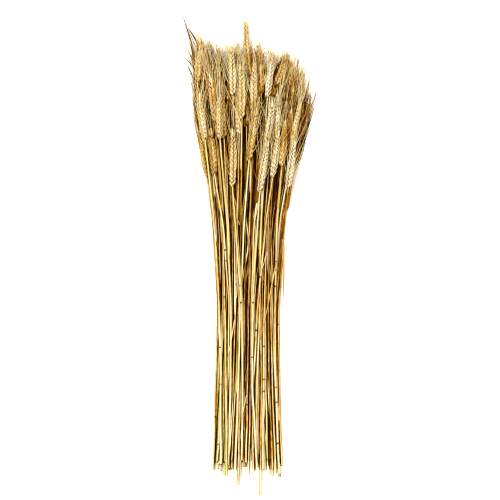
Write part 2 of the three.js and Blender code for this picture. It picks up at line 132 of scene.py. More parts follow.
# The heads. Each form of husk has a length, a width, a depth and how far it bows out
SPIKELET_PITCH = 3.0 * MM
HEAD_FULLNESS = 1.04
SPIKELET_SIZE = (0.95, 1.06)
SPLAY = (0.15, 0.23)
OUTER_SPREAD = (0.05, 0.12)
FLORET_SPREAD = (0.1, 0.18)
HUSK_SHADE = (-0.16, 0.14)
BEND_ASIDE = (-1.6, 1.6)
BEND_UP = (-1, 1)
HUSK_STATIONS = (0.0, 0.5, 0.92, 1.0, 0.66, 0.24, 0.0)
KEEL = 1.3
OUTER_HUSK = (8.4, 1.8, 1.05, 0.5)
FLORET_HUSK = (9.8, 1.65, 1.1, 0.5)
MIDDLE_HUSK = (8.6, 1.6, 1.1, 0.4)
TIP_HUSK = (14.0, 1.7, 1.15, 0.5)
TIP_TURNS = (0.0, 2.1, 4.2)
UPPERMOST_SPIKELET = 11 * MM
TIP_SPIKELET = 14 * MM

# The awns
AWN_SIDES_ROUND = 3
AWN_STATIONS = 7
AWN_RADIUS = 0.42 * MM
AWN_TIP_RADIUS = 0.21 * MM
AWN_ROOT = 0.8
AWN_LENGTH = (28, 62)
AWN_LONGEST = 88 * MM
AWN_SHORTEST = 4 * MM
AWN_BELOW_TOP = (-5, 22)
AWN_CURL = (0.2, 0.8)
AWN_SINKS_TO = (0.3, 0.8)
AWN_PALE_END = 75
AWN_SHADES = (-0.3, -0.12, 0.0, 0.08, 0.14)
LOOSENESS = 0.19
STRAY_AWNS = 0.1
STRAY_PAST_TOP = (3, 14)
STRAY_FROM = 60 * MM
UNDER_HEAD = 5 * MM

# Share of florets with an awn, by height: y, share
AWNED_SHARE = [(110, 0.4), (190, 0.5), (250, 0.7), (290, 0.85)]

# Strips of dry leaf in the gaps between the straws and on top of them, and dark leaves laid flat under
# them as painted shade for the gaps. A blade's own shape is this thick, and is laid at so many millimetres
# to its unit
BLADE_THICKNESS = 0.2
BLADE_UNIT = 1.2
GAP_STRIPS = 2
TOP_STRIPS = 2
SHADE_LEAVES_UNDER = 22
STRAW_HALF = 1.5 * MM
HEAD_HALF = 4.6 * MM
GAP_STRIP_LENGTH = (110, 210)
GAP_STRIP_HALF = (0.8, 1.4)
GAP_STRIP_WIDEST = 2.6 * MM
TOP_STRIP_LENGTH = (60, 170)
TOP_STRIP_HALF = (0.45, 0.95)
TOP_STRIP_ASIDE = (1.2, 2.6)
SHADE_LEAF_HALF = (4.2, 5.6)
SHADE_LEAF_INSIDE = 7.5 * MM
SHADE_LEAF_PAST_MIDDLE = 35 * MM
SHADE_LEAF_OFF_TABLE = 0.3 * MM

# How much paler the straws are along the bunch: y, tint
BLEACHED = [
    (-330, 0.2), (-260, 0.17), (-200, 0.11), (-140, 0.08), (-104, 0.0), (-60, -0.08), (50, -0.02),
    (120, 0.04),
]

# Straw joints that show on top, seen from above: x, y
JOINTS_SEEN = [
    (-43, 8), (-36, -7), (-22, -40), (-15, -42), (15.6, -30), (37, -8), (29.6, -20), (35, -43),
    (-40.4, -58), (0.2, -66), (-11, -66), (-46, -129), (5.8, -105), (17, -128), (1.6, -143),
    (21, -174), (31, -185), (24, -191), (40.8, -97), (36.6, -206), (-5.4, -210), (-43, -181),
    (-53, -227), (-47.4, -266), (38, -264),
]

# How far up the awns reach, across the bunch: x, y
AWN_TIPS = [
    (-96, 316), (-75, 314), (-66, 302), (-57, 300), (-47, 298), (-33, 297), (-19, 300), (-9, 299),
    (2, 294), (10, 289), (23, 287), (38, 286), (51, 286), (65, 272), (79, 250), (86, 232), (95, 224),
]

# The sides of the bunch that the awns keep to: y, left, right
AWN_SIDES = [
    (60, -58, 55), (106, -66, 59), (127, -68, 65), (148, -71, 72), (169, -74, 76), (190, -78, 82),
    (211, -80, 87), (232, -81, 91), (253, -84, 84), (274, -89, 68), (300, -96, 55),
]

# Heads that are longer than their solids below the tip awn
LONG_HEADS = {"stalk_07": 15 * MM}

# Heads that no other head's awns lie on: how far clear of the head's middle, left and right
CLEAR_HEADS = {
    "stalk_01": (4.5, 4.5), "stalk_05": (4.0, 4.0), "stalk_07": (4.5, 4.5), "stalk_08": (4.5, 4.0),
    "stalk_11": (9.0, 4.5),
}

# Heads that nod to the right, at their tips
NODDING = {"stalk_01": 5 * MM, "stalk_14": 6.5 * MM}

# Leaves that stand out of the bunch, on the stalk named or else on the one furthest right. The rib has
# rows of height along the bunch, distance aside from the stalk's line and height above it
Leaf = namedtuple("Leaf", "stalk half_width fold twist tint grey rib")
LEAVES = [
    Leaf("stalk_01", 2.6, 0.5, 0.8, 0.35, 1.0,
         [(205, 0, 0), (230, -3, -2), (265, -5.5, -1), (285, -8, -1), (303, -13, -1), (343, -27, 3)]),
    Leaf("stalk_01", 3.0, 0.7, -0.6, 0.1, 1.0,
         [(220, 0, 0), (250, 1, -5), (285, 0, -6.5), (301, -4, -6.5), (323, -19, -4)]),
    Leaf(None, 2.3, 0.4, 0.3, 0.3, 0.3,
         [(62, 0, 0), (74, 2.4, 0.5), (92, 4, 0.5), (112, 4.6, 0)]),
    Leaf("stalk_11", 2.8, 0.6, 1.2, 0.22, 0.0,
         [(74, -1, 1.5), (90, -2.5, 5), (102, -3.5, 8), (114, -2, 8), (126, 1.5, 5)]),
    Leaf("stalk_01", 0.95, 0.4, 0.5, 0.3, 0.3,
         [(260, -4, 1), (271, -12, 2), (278, -19, 2.5), (283, -25, 2.5)]),
    Leaf("stalk_01", 0.9, 0.4, 0.5, 0.25, 0.4,
         [(266, -4, 0), (279, -10, 1), (291, -18, 2)]),
    Leaf("stalk_01", 0.9, 0.4, 0.5, 0.2, 0.4,
         [(244, -4, 0), (260, -11, 0), (275, -19, 0)]),
    Leaf("stalk_11", 2.7, 0.4, 0.5, 0.0, 0.0,
         [(222, -3, 0.5), (238, -5, 1), (252, -6.5, 2.5), (266, -6.5, 3), (282, -3, 1)]),
    Leaf("stalk_06", 1.1, 0.4, 0.8, 0.8, 0.1,
         [(120, -1, 1.6), (150, -0.5, 2), (180, -0.8, 2.5), (195, -5, 3.5), (210, -11.5, 4),
          (225, -18, 4), (240, -24, 4)]),
    Leaf(None, 1.8, 0.45, 0.5, 0.6, 0.4,
         [(24, -0.5, 0), (16, 0.5, 1), (4, 1.2, 1.4), (-12, 2.4, 1), (-35, 4.6, 0.6), (-68, 6.6, 0)]),
    Leaf(None, 1.5, 0.4, 0.3, 0.05, 0.9,
         [(-276, -7, 0.5), (-294, -6, 0.5), (-304, -4, 0.4), (-317, 1, 0.2)]),
]
LEAF_OFF_TABLE = 0.74 * MM

# Strips of dry leaf that cross the straws on top. The rib has rows of x, y, seen from above
Crossing = namedtuple("Crossing", "half_width tint rib")
CROSSINGS = [
    Crossing(0.9, 0.85, [(22.6, 4.5), (18.5, -10), (12.8, -27)]),
    Crossing(1.1, 0.6, [(35.7, -9.5), (29, -45), (21.5, -82), (12.1, -125)]),
    Crossing(0.9, 0.8, [(-22.9, -90), (-27.5, -118), (-33.4, -149.5)]),
    Crossing(0.8, 0.7, [(-6, -196), (-12, -226), (-15, -262)]),
]


def unit(vectors):
    return vectors / np.maximum(np.linalg.norm(vectors, axis=-1, keepdims=True), TINY)


def spans_along(line):
    """How far each point of a line lies from its start, measured along it."""
    return np.concatenate(([0], np.cumsum(np.linalg.norm(np.diff(line, axis=0), axis=1))))


# The stalks, as their solids give them

def corners_upwards(node):
    """The corners of a solid, from its cut up to its head."""
    shape = bmesh.new()
    shape.from_mesh(node.data)
    bmesh.ops.remove_doubles(shape, verts=shape.verts, dist=SAME_CORNER)
    corners = np.array([v.co[:] for v in shape.verts])
    shape.free()
    return corners[np.argsort(corners[:, 1])]


def end_of_head(head):
    """The end of the tip awn, seen from the neck, and how the corners round that line lie aside from it."""
    for end in head[::-1]:
        axis = unit(end)
        aside = head - np.outer(head @ axis, axis)
        near = np.linalg.norm(aside, axis=1) < HEAD_AROUND
        if near.mean() > MOST_OF_HEAD:
            break
    return end, aside[near]


def broad_way(axis, aside):
    """The direction in which the head is broadest, turned to the right."""
    level = unit(np.array((1.0, 0, 0)) - axis[0] * axis)
    face = np.cross(axis, level)
    across = np.stack((aside @ level, aside @ face))
    _, ways = np.linalg.eigh(across @ across.T)
    row = unit(ways[0, 1] * level + ways[1, 1] * face)
    return -row if row[0] < 0 else row


class Stalk:
    """A stalk's line, from its cut to the end of its head, the head's directions and the stalk's looks."""

    def __init__(self, index, node):
        corners = corners_upwards(node)
        breaks = np.flatnonzero(np.diff(corners[:, 1]) > SAME_HEIGHT) + 1
        rings = [ring for ring in np.split(corners, breaks) if len(ring) >= RING_CORNERS]
        line = [ring.mean(0) for ring in rings]
        neck = line[-1]
        end, aside = end_of_head(corners[corners[:, 1] > neck[1] + ABOVE_NECK] - neck)
        self.name = node.name
        self.line = np.array(line + [neck + end])
        self.cut, self.neck, self.end = self.line[0, 1], self.line[-2, 1], self.line[-1, 1]
        self.axis = unit(end)
        self.row = broad_way(self.axis, aside)
        self.face = np.cross(self.axis, self.row)
        self.head = float(np.linalg.norm(end) - TIP_AWN) + LONG_HEADS.get(node.name, 0)
        self.dice = random.Random(SEED + index)
        self.seed = 1.7 * index

    def choose_looks(self, highest):
        """How pale, long-awned, ripe and thick the stalk is. Those on top are the palest: painted shade
        darkens the lower ones.
        """
        dice = self.dice
        # Painted shade: the lower a stalk lies in the bunch, the darker its straw and its head are painted.
        depth = float(self.line[:, 2].mean()) / highest
        self.tint = min(max(0.54 + 0.26 * depth + dice.uniform(-0.28, 0.26), 0.3), 0.95)
        self.head_tint = min(max(0.72 + 0.25 * depth + dice.uniform(-0.24, 0.2), 0.5), 1.0)
        self.awned = dice.uniform(0.8, 1.15)
        self.ripe = 0.8 * dice.random() ** 1.5
        self.girth = dice.uniform(*GIRTH)

    def at(self, height):
        """The point of the stalk's line at a height along the bunch."""
        x, y, z = self.line.T
        return np.array((np.interp(height, y, x), height, np.interp(height, y, z)))

    def eased(self, heights):
        """The stalk's line with its bends at the rings rounded off."""
        before = self.line[0] + (self.line[0] - self.line[1]) * 0.5
        x, y, z = np.vstack((before, self.line)).T
        windows = np.linspace(-1, 1, 7) * ROUNDED_OVER
        eased_x = np.mean([np.interp(heights + window, y, x) for window in windows], axis=0)
        eased_z = np.mean([np.interp(heights + window, y, z) for window in windows], axis=0)
        return np.stack((eased_x, heights, eased_z), axis=1)


def crowding(places, ways, own):
    """How far a surface is closed in by the other stalks: 0 in the open and 1 or more deep in the bunch."""
    total = np.zeros(len(places))
    height = places[:, 1]
    for other in stalks:
        if other is own:
            continue
        line_x, line_y, line_z = other.line.T
        x = np.interp(height, line_y, line_x) - places[:, 0]
        z = np.interp(height, line_y, line_z) - places[:, 2]
        in_head = np.clip((height - other.neck) / NECK_BLEND, 0, 1)
        radius = SHADING_RADIUS + HEAD_SHADES_MORE * in_head
        away = np.maximum(np.hypot(x, z), radius)
        facing = np.maximum((x * ways[:, 0] + z * ways[:, 2]) / away, 0)
        beside = (height > other.cut) & (height < other.end - TIP_WITHOUT_SHADE)
        total += np.where(beside, 2 / math.pi * np.arcsin(radius / away) * facing, 0)
    return total


def painted_shade_inside(stalk):
    """Painted shade: the straw painted darker deep in the bunch, and on its sides and underside than on its
    top.
    """
    def painted_shade_of(places, ways):
        closed = np.clip(crowding(places, ways, stalk) - OPEN_UP_TO, 0, CLOSED_MOST)
        return INNER_PAINTED_SHADE * (0.6 * closed + closed ** 2) + UNDERSIDE_PAINTED_SHADE * (0.7 - ways[:, 2])
    return painted_shade_of


def keep_inside(points):
    """Nothing goes under the table, or more than a little past the box of the solids."""
    low, high = cad_box
    for axis, room in ((0, PAST_SIDES), (1, PAST_ENDS)):
        points[:, axis] = np.clip(points[:, axis], low[axis] - room, high[axis] + room)
    points[:, 2] = np.clip(points[:, 2], OFF_TABLE, high[2] + PAST_TOP)
    return points


# The shapes that are laid many times

class Shape:
    """A small closed shape, made once by mesh operators, then bent and laid wherever it is needed."""

    def __init__(self, name, slot, build):
        shape = bmesh.new()
        build(shape)
        bmesh.ops.recalc_face_normals(shape, faces=shape.faces)
        for layer in ("tone", "fibre"):
            shape.verts.layers.float_vector.new(layer)
        self.mesh = bpy.data.meshes.new(name)
        shape.to_mesh(self.mesh)
        shape.free()
        rest = np.zeros(len(self.mesh.vertices) * 3, np.float32)
        self.mesh.vertices.foreach_get("co", rest)
        self.rest = rest.reshape(-1, 3).astype(float)
        faces = len(self.mesh.polygons)
        self.mesh.polygons.foreach_set("material_index", [slot] * faces)
        self.mesh.polygons.foreach_set("use_smooth", [True] * faces)

    def lay(self, piece, points, tone, fibre):
        """Adds the shape to a piece, with its points at these places."""
        points = keep_inside(points)
        self.mesh.vertices.foreach_set("co", points.astype(np.float32).ravel())
        for layer, values in (("tone", tone), ("fibre", fibre)):
            self.mesh.attributes[layer].data.foreach_set("vector", values.astype(np.float32).ravel())
        piece.from_mesh(self.mesh)


def build_tube(sides, stations):
    def build(shape):
        bmesh.ops.create_cone(
            shape, cap_ends=True, cap_tris=True, segments=sides, radius1=1, radius2=1, depth=1)
        long_edges = [e for e in shape.edges if abs(e.verts[0].co.z - e.verts[1].co.z) > 0.5]
        bmesh.ops.subdivide_edges(shape, edges=long_edges, cuts=stations - 2)
        bmesh.ops.translate(shape, vec=(0, 0, 0.5), verts=shape.verts)
    return build


def build_husk(shape):
    bmesh.ops.create_uvsphere(shape, u_segments=6, v_segments=6, radius=1)


def build_blade(across, along):
    def build(shape):
        bmesh.ops.create_grid(shape, x_segments=across, y_segments=along, size=1)
        sheet = shape.faces[:] + shape.edges[:] + shape.verts[:]
        bmesh.ops.solidify(shape, geom=sheet, thickness=BLADE_THICKNESS)
    return build


class Tube(Shape):
    """A tube laid along a line, with a radius and a tone at each of its stations."""

    def __init__(self, name, slot, sides, stations):
        super().__init__(name, slot, build_tube(sides, stations))
        self.at = np.rint(self.rest[:, 2] * (stations - 1)).astype(int)

    def lay_along(self, piece, line, radii, tones, seed, painted_shade_of=None, slant=0.0):
        along = unit(np.gradient(line, axis=0))
        side = unit(np.cross(along, UP))
        top = np.cross(side, along)
        k = self.at
        x, y = self.rest[:, :1], self.rest[:, 1:2]
        ways = side[k] * x + top[k] * y
        points = line[k] + ways * radii[k, None]
        slanted = slant * radii[k] * (x[:, 0] + 0.4 * y[:, 0])
        points[:, 1] += np.where(k < CUT_STATIONS, slanted, 0)
        fibre = np.hstack((x, y, spans_along(line)[k, None] + seed))
        tone = tones[k]
        # Painted shade: the tone is darkened where the bunch closes in, and on the sides that turn away
        # from the top.
        if painted_shade_of:
            tone[:, 0] -= painted_shade_of(points, ways)
        self.lay(piece, points, tone, fibre)


class Husk(Shape):
    """A boat-shaped husk with a keel, laid from its root towards its tip."""

    def __init__(self, name, slot):
        super().__init__(name, slot, build_husk)
        z = self.rest[:, 2]
        self.t = (z + 1) / 2
        ring = np.rint(np.arccos(np.clip(-z, -1, 1)) / math.pi * (len(HUSK_STATIONS) - 1)).astype(int)
        girth = np.maximum(np.sqrt(np.maximum(1 - z * z, 0)), TINY)
        poles = np.abs(z) > 0.999
        self.x = np.where(poles, 0, self.rest[:, 0] / girth)
        self.y = np.where(poles, 0, self.rest[:, 1] / girth)
        self.girth = np.array(HUSK_STATIONS)[ring]

    def lay_at(self, piece, root, way, back, sizes, looks):
        """Lays the husk, with its keel turned to its back. Returns the place of its tip."""
        length, width, depth, bow = sizes
        tint, ripe, seed = looks
        way = unit(way)
        back = unit(back - (back @ way) * way)
        side = np.cross(way, back)
        t = self.t[:, None]
        keel = np.where(self.x > 0.9, KEEL, 1.0)
        out = (self.x * keel * self.girth)[:, None] * depth + bow * np.sin(math.pi * t)
        aside = (self.y * self.girth)[:, None] * width
        points = root + way * (length * t) + back * out + side * aside
        tone = np.hstack((np.full_like(t, tint), t, np.full_like(t, ripe)))
        fibre = np.stack((self.x, self.y, self.t + seed), axis=1)
        self.lay(piece, points, tone, fibre)
        return root + way * length


class Blade(Shape):
    """A dry leaf laid along its midrib, folded along it and twisted."""

    def __init__(self, name, slot, across, along):
        super().__init__(name, slot, build_blade(across, along))
        self.count = along + 1

    def lay_along(self, piece, rib, half_width, fold, twist, tint, grey, seed, painted_shade_of=None):
        spans = spans_along(rib)
        steps = np.linspace(0, 1, self.count)
        line = np.stack([np.interp(steps * spans[-1], spans, rib[:, c]) for c in range(3)], axis=1)
        for _ in range(4):
            line[1:-1] = (line[:-2] + 2 * line[1:-1] + line[2:]) / 4
        along = unit(np.gradient(line, axis=0))
        side = unit(np.cross(along, UP))
        top = np.cross(side, along)
        t = (self.rest[:, 1] + 1) / 2
        k = np.rint(t * (self.count - 1)).astype(int)
        x = self.rest[:, 0]
        widening = np.minimum(1, np.sqrt(np.maximum(t, 0) * 6 + 0.15))
        narrowing = np.power(np.maximum(1 - t, 0.004), 0.55)
        wide = half_width * widening * narrowing
        turn = (twist * t * t)[:, None]
        across = side[k] * np.cos(turn) + top[k] * np.sin(turn)
        over = top[k] * np.cos(turn) - side[k] * np.sin(turn)
        rise = fold * np.abs(x) * wide + self.rest[:, 2] * BLADE_UNIT * MM
        points = line[k] + across * (x * wide)[:, None] + over * rise[:, None]
        tone = np.stack((np.full_like(t, tint), t, np.full_like(t, grey)), axis=1)
        # Painted shade: the tone is darkened where the bunch closes in, and on the sides that turn away
        # from the top.
        if painted_shade_of:
            tone[:, 0] -= painted_shade_of(points, over)
        fibre = np.stack((x, np.zeros_like(x), t * spans[-1] + seed), axis=1)
        self.lay(piece, points, tone, fibre)


# The straws

def plan_joints():
    """Heights of each stalk's joints: those that show on top, and one every 110 to 180 mm elsewhere."""
    for stalk in stalks:
        stalk.joints_seen = []
    for x, y in JOINTS_SEEN:
        here = [(stalk.at(y * MM), stalk) for stalk in stalks if stalk.cut < y * MM < stalk.neck]
        near = [(point[2] - 1.2 * abs(point[0] - x * MM), stalk) for point, stalk in here]
        best = max(near, key=lambda pair: pair[0])[1]
        best.joints_seen.append(y * MM)
    for stalk in stalks:
        stalk.joints = list(stalk.joints_seen)
        height = stalk.cut + stalk.dice.uniform(*FIRST_JOINT) * MM
        while height < stalk.neck - UPPERMOST_JOINT:
            if all(abs(height - other) > JOINTS_APART for other in stalk.joints):
                stalk.joints.append(height)
            height += stalk.dice.uniform(*JOINT_STEP) * MM
        stalk.joints.sort()


def make_straw(piece, stalk):
    """A hollow straw from its cut to inside the head, with joints, and sheaths that start at the joints."""
    dice = stalk.dice
    cut = stalk.cut + dice.uniform(*CUT_MOVED) * MM
    end = stalk.neck + (stalk.head - STRAW_UNDER_TIP) * stalk.axis[1]
    at_cut = [cut + HOLLOW_DEPTH, cut, cut, cut + CUT_RIM]
    at_joints = [joint + k * JOINT_HALF for joint in stalk.joints for k in JOINT_STATIONS]
    plain = np.linspace(cut + PLAIN_FROM, end, STRAW_STATIONS - len(at_cut) - len(at_joints))
    heights = np.array(at_cut + sorted([*plain, *at_joints]))
    line = stalk.eased(heights)
    share = np.clip((heights - cut) / (stalk.neck - cut), 0, 1)
    radii = RADIUS_AT_CUT + (RADIUS_AT_NECK - RADIUS_AT_CUT) * share ** NARROWS_LATE
    dark = np.zeros_like(heights)
    sheath = np.full_like(heights, -1.0)
    for joint in stalk.joints:
        gap = (heights - joint) / JOINT_HALF
        swell = np.exp(-gap * gap)
        radii *= 1 + JOINT_SWELL * swell
        darkness = SEEN_JOINT_DARK if joint in stalk.joints_seen else OTHER_JOINT_DARK
        dark = np.maximum(dark, swell * dice.uniform(*darkness))
        if dice.random() < SHEATHED_SHARE:
            top = joint + dice.uniform(*SHEATH_LENGTH) * MM
            inside = (heights > joint) & (heights < top)
            radii[inside] *= 1 + SHEATH_THICKER
            signed = np.where(heights > joint, (top - heights) / SHEATH_FRAYS, -1)
            sheath = np.maximum(sheath, np.clip(signed, -1, 1))
    radii[:2] *= HOLLOW
    dark[:3] = CUT_DARK
    dark[3] = max(dark[3], 0.3 * dice.random())
    tint = stalk.tint + np.interp(heights / MM, *zip(*BLEACHED))
    tones = np.stack((tint, dark, sheath), axis=1)
    radii *= stalk.girth
    for _ in range(SWINGS):
        swing = dice.uniform(*SWING_ASIDE) * MM
        turn = dice.uniform(0, 2 * math.pi)
        length = dice.uniform(*SWING_LENGTH) * MM
        line[:, 0] += swing * np.sin(heights * 2 * math.pi / length + turn) * np.clip(1 - share, 0, 1)
    slant = dice.uniform(*CUT_SLANT)
    # The straw's tone takes painted shade from the stalks around it.
    straw_tube.lay_along(piece, line, radii, tones, stalk.seed, painted_shade_inside(stalk), slant)


# The heads and their awns

def make_head(piece, stalk):
    """Two rows of spikelets, left and right in turn, with a spikelet at the tip."""
    dice, row, face = stalk.dice, stalk.row, stalk.face
    bend = row * dice.uniform(*BEND_ASIDE) * MM + face * dice.uniform(*BEND_UP) * MM
    nod = np.array((NODDING.get(stalk.name, 0.0), 0.0, 0.0))

    def spine(along):
        share = along / stalk.head
        return stalk.line[-2] + stalk.axis * along + bend * math.sin(math.pi * share) + nod * share ** 2

    count = int((stalk.head - UPPERMOST_SPIKELET) / SPIKELET_PITCH)
    for i in range(count):
        side = row * (1 if i % 2 else -1)
        make_spikelet(piece, stalk, spine(i * SPIKELET_PITCH), i / (count - 1), side)
    make_tip_spikelet(piece, stalk, spine(stalk.head - TIP_SPIKELET))


def make_spikelet(piece, stalk, root, place, side):
    """Two outer husks and three florets. Some florets have awns, most of them high up in the bunch."""
    dice, axis, face = stalk.dice, stalk.axis, stalk.face
    full = HEAD_FULLNESS * (0.6 + 0.4 * math.sin(math.pi * min(0.12 + place, 1)))
    size = full * dice.uniform(*SPIKELET_SIZE)
    splay = dice.uniform(*SPLAY)
    # Painted shade: a spikelet closed in by the stalks above it is painted darker.
    closed_in = crowding((root + side * 3 * MM)[None], UP[None], stalk)[0]
    shade = stalk.head_tint + dice.uniform(-0.08, 0.08) - HEAD_INNER_PAINTED_SHADE * min(closed_in, 1.0)
    loose = loose_way(dice, axis)
    florets = []
    for f in (1, -1):
        way = axis + side * (splay - 0.04) + face * (f * dice.uniform(*OUTER_SPREAD))
        at = root + face * (f * 1.5 * MM * size) + side * 0.9 * MM * size
        lay_husk(piece, stalk, OUTER_HUSK, size, at, way, face * f * 0.85 + side * 0.5, shade)
    for f in (1, -1):
        way = axis + side * splay + face * (f * dice.uniform(*FLORET_SPREAD))
        at = root + axis * 1.5 * MM + face * (f * 1.2 * MM * size) + side * 2.0 * MM * size
        back = face * f * 0.7 + side * 0.7
        tip = lay_husk(piece, stalk, FLORET_HUSK, size, at, way, back, shade + 0.04)
        florets.append((tip, way, 1.0))
    way = axis + side * (splay + 0.06)
    at = root + axis * 2.2 * MM + side * 2.5 * MM * size
    tip = lay_husk(piece, stalk, MIDDLE_HUSK, size, at, way, side, shade + 0.02)
    florets.append((tip, way, 0.8))
    tuft = shade + dice.gauss(0, 0.14)
    for tip, way, reach in florets:
        if dice.random() < np.interp(tip[1] / MM, *zip(*AWNED_SHARE)):
            grow_awn(piece, stalk, tip, unit(way) + loose, reach, tuft)


def make_tip_spikelet(piece, stalk, root):
    """Three long florets round the end of the head. Their awns stand, so the bunch keeps its height."""
    for turn in TIP_TURNS:
        out = stalk.row * math.cos(turn) + stalk.face * math.sin(turn)
        way = stalk.axis + out * 0.07
        tip = lay_husk(piece, stalk, TIP_HUSK, 1.0, root + out * MM, way, out, stalk.head_tint + 0.05)
        loose = loose_way(stalk.dice, stalk.axis) * 0.4
        grow_awn(piece, stalk, tip, way + loose, 0.7, stalk.head_tint, sag=0.0)


def lay_husk(piece, stalk, form, size, root, way, back, shade):
    """Lays a husk of one form, longer and wider by the size. Returns the place of its tip."""
    long, wide, deep, bow = form
    sizes = (long * size * MM, wide * size * MM, deep * MM, bow * MM)
    looks = (shade + stalk.dice.uniform(*HUSK_SHADE), stalk.ripe, stalk.dice.random())
    return husk_shape.lay_at(piece, root, way, back, sizes, looks)


def loose_way(dice, axis):
    """A small turn aside from the head's axis."""
    aside = np.array([dice.gauss(0, LOOSENESS) for _ in range(3)])
    return aside - (aside @ axis) * axis


def awns_reach(x):
    """How far up the bunch the awns reach at a place across it, in millimetres."""
    return np.interp(x / MM, *zip(*AWN_TIPS))


def grow_awn(piece, stalk, tip, way, reach, shade, sag=0.85):
    """An awn from a floret's tip, up to the height that the awns reach there. A few stray past it."""
    dice, axis = stalk.dice, stalk.axis
    way = unit(unit(way) * 0.62 + axis * 0.38 + loose_way(dice, axis) * 0.45)
    upward = max(way[1], 0.3)
    length = dice.uniform(*AWN_LENGTH) * MM * reach * stalk.awned
    top = awns_reach(tip[0] + way[0] * length) * MM
    room = max(top - dice.uniform(*AWN_BELOW_TOP) * MM - tip[1], AWN_SHORTEST) / upward
    if room < AWN_LONGEST and dice.random() < 0.5:
        length = room
    length = min(length, room)
    stray = dice.random() < STRAY_AWNS and top - tip[1] < STRAY_FROM
    if stray:
        length = (max(top - tip[1], 0) + dice.uniform(*STRAY_PAST_TOP) * MM) / upward
    curl = loose_way(dice, axis) * dice.uniform(*AWN_CURL) * length
    t = np.linspace(0, 1, AWN_STATIONS)[:, None]
    line = tip - way * AWN_ROOT * MM + way * (length * t) + curl * (t * t)
    line = settle(line, stalk, sag * t[:, 0] ** 1.2)
    radii = AWN_RADIUS + (AWN_TIP_RADIUS - AWN_RADIUS) * t[:, 0] ** (3.0 if stray else 1.5)
    # Painted shade: the lower an awn lies under the tops of the heads, the darker it is painted.
    up = np.clip(line[:, 2:] / np.interp(line[:, :1], *heads_top), 0, 1)
    tint = shade + dice.choice(AWN_SHADES) + dice.gauss(0, 0.08) + 1.5 * (up - 0.72) + 0.12 * t
    below_top = awns_reach(line[:, :1]) - line[:, 1:2] / MM
    tint += 0.62 * np.clip(1 - below_top / AWN_PALE_END, 0, 1)
    tones = np.hstack((tint, t, np.zeros_like(t)))
    awn_tube.lay_along(piece, line, radii, tones, stalk.seed + dice.random())


def settle(line, stalk, sinking):
    """Keeps an awn to the bunch's sides, and lets it sink between the heads and below the clear ones."""
    dice = stalk.dice
    height, left, right = (np.array(part) * MM for part in zip(*AWN_SIDES))
    y = line[:, 1]
    nearest = np.clip(line[:, 0], np.interp(y, height, left), np.interp(y, height, right))
    line[:, 0] += (nearest - line[:, 0]) * (0.8 if dice.random() < 0.88 else 0.3)
    level = np.interp(line[:, 0], *heads_top) * dice.uniform(*AWN_SINKS_TO)
    line[:, 2] += (level - line[:, 2]) * sinking
    for other in stalks:
        if other.name in CLEAR_HEADS and other is not stalk:
            sink_below(line, other)
    return keep_inside(line)


def sink_below(line, other):
    """Takes the part of an awn that would lie on another stalk's head down beneath that head."""
    left, right = CLEAR_HEADS[other.name]
    head_x, head_y, head_z = other.line[-2:].T
    height = line[:, 1]
    aside = line[:, 0] - np.interp(height, head_y, head_x)
    across = (aside > -left * MM) & (aside < right * MM)
    along = (height > other.neck) & (height < other.end - TIP_AWN)
    under = np.interp(height, head_y, head_z) - UNDER_HEAD
    line[:, 2] = np.where(across & along, np.minimum(line[:, 2], under), line[:, 2])


def top_of_heads():
    """How high the ends of the heads lie, at places across the bunch."""
    ends = [stalk.line[-1] for stalk in stalks]
    columns = np.arange(-100, 101, 10) * MM
    tops = [max([z for x, _, z in ends if abs(x - column) < 16 * MM] + [14 * MM]) for column in columns]
    return columns, np.array(tops)


# The strips and leaves

def find_gap(height, x):
    """The middle and the width of the best gap near x, between straws and strips as seen from above."""
    edges = [(np.interp(height, rib[:, 1], rib[:, 0]), half) for rib, half in strips_laid
             if rib[0, 1] < height < rib[-1, 1]]
    for other in stalks:
        if other.cut < height < other.end - 15 * MM:
            half = STRAW_HALF if height < other.neck + 4 * MM else HEAD_HALF
            edges.append((other.at(height)[0], half))
    edges.sort()
    gaps = []
    right = edges[0][0] + edges[0][1]
    for place, half in edges[1:]:
        if place - half > right:
            gaps.append(((right + place - half) / 2, place - half - right))
        right = max(right, place + half)
    return min(gaps, key=lambda gap: abs(gap[0] - x) - 2.0 * gap[1]) if gaps else (x, 0.0)


def make_gap_strips(piece, stalk):
    """Narrow strips of dry sheath, low in the bunch, in the gaps beside the straw."""
    dice = stalk.dice
    for _ in range(GAP_STRIPS):
        low = dice.choice((dice.uniform(stalk.cut / MM + 10, 20), dice.uniform(10, 95))) * MM
        high = min(low + dice.uniform(*GAP_STRIP_LENGTH) * MM, stalk.neck + 40 * MM)
        heights = np.linspace(low, high, 14)
        if heights[-1] - heights[0] < 50 * MM:
            continue
        x = stalk.at(low)[0]
        rib, widths = [], []
        for k, height in enumerate(heights):
            middle, width = find_gap(height, x)
            x += max(min(middle - x, 2.5 * MM), -2.5 * MM) if k else middle - x
            rib.append((x, height, max(stalk.at(height)[2] * 0.45, 2 * MM)))
            widths.append(width)
        rib = np.array(rib)
        half = min(max(np.mean(widths) * 0.6, dice.uniform(*GAP_STRIP_HALF) * MM), GAP_STRIP_WIDEST)
        strips_laid.append((rib, half * 0.9))
        fold, twist, tint = dice.uniform(0.2, 0.8), dice.uniform(-0.4, 0.4), dice.uniform(0.35, 0.9)
        seed = stalk.seed + dice.random()
        # The strip's tone takes painted shade from the stalks around it.
        strip_shape.lay_along(piece, rib, half, fold, twist, tint, 0.0, seed, painted_shade_inside(stalk))


